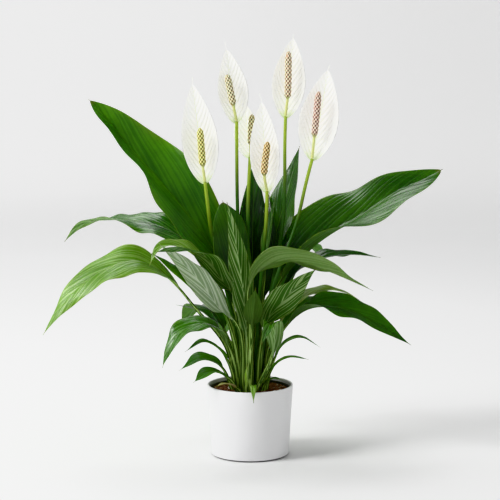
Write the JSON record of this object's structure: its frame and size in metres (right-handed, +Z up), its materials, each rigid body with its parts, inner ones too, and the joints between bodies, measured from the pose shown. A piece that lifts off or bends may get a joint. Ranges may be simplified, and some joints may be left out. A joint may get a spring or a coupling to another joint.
{
  "type": "potted peace lily",
  "caption": "Peace lily in a plain white tapered pot: a fan of long arching green leaves with white hooded flowers held above them.",
  "frame": {"origin": "centre of the pot's flat underside", "axes": "+Z up along the pot's axis, +X to the right and +Y to the back of the plant as it is best seen"},
  "size_m": [0.5923, 0.3319, 0.622],
  "materials": {
    "pot": "satin",
    "nursery_pot": "matte",
    "soil": "matte",
    "leaf": "satin",
    "flower_stem": "satin",
    "spathe": "satin",
    "spadix": "matte"
  },
  "bodies": {
    "root": {"pot": "pot", "nursery_pot": "nursery_pot", "soil": "soil", "leaf_tall_left": "leaf", "leaf_tall_right": "leaf", "leaf_left_level": "leaf", "leaf_left_drooping": "leaf", "leaf_left_folded": "leaf", "leaf_left_pale": "leaf", "leaf_left_dark": "leaf", "leaf_left_silvery": "leaf", "leaf_centre_broad": "leaf", "leaf_centre_narrow": "leaf", "leaf_centre_shaded": "leaf", "leaf_centre_curled": "leaf", "leaf_behind_flower": "leaf", "leaf_upright_right": "leaf", "leaf_right_dark": "leaf", "leaf_right_arching": "leaf", "leaf_right_striped": "leaf", "leaf_right_yellow": "leaf", "leaf_right_drooping": "leaf", "leaf_right_thin": "leaf", "leaf_right_low": "leaf", "leaf_right_lowest": "leaf", "leaf_front_nodding": "leaf", "leaf_front_round": "leaf", "leaf_front_sprout": "leaf", "leaf_over_rim": "leaf", "leaf_left_low": "leaf", "leaf_left_small": "leaf", "leaf_left_slim": "leaf", "leaf_left_lower": "leaf", "leaf_left_lowest": "leaf", "leaf_old_strip": "leaf", "leaf_back_right": "leaf", "leaf_back_centre": "leaf", "leaf_back_left": "leaf", "leaf_back_low_left": "leaf", "leaf_back_low": "leaf", "leaf_back_low_right": "leaf", "leaf_back_small": "leaf", "flower_stem_left": "flower_stem", "spathe_left": "spathe", "spadix_left": "spadix", "flower_stem_upper_left": "flower_stem", "spathe_upper_left": "spathe", "spadix_upper_left": "spadix", "flower_stem_middle": "flower_stem", "spathe_middle": "spathe", "spadix_middle": "spadix", "flower_stem_front": "flower_stem", "spathe_front": "spathe", "spadix_front": "spadix", "flower_stem_tallest": "flower_stem", "spathe_tallest": "spathe", "spadix_tallest": "spadix", "flower_stem_right": "flower_stem", "spathe_right": "spathe", "spadix_right": "spadix"}
  },
  "joints": []
}
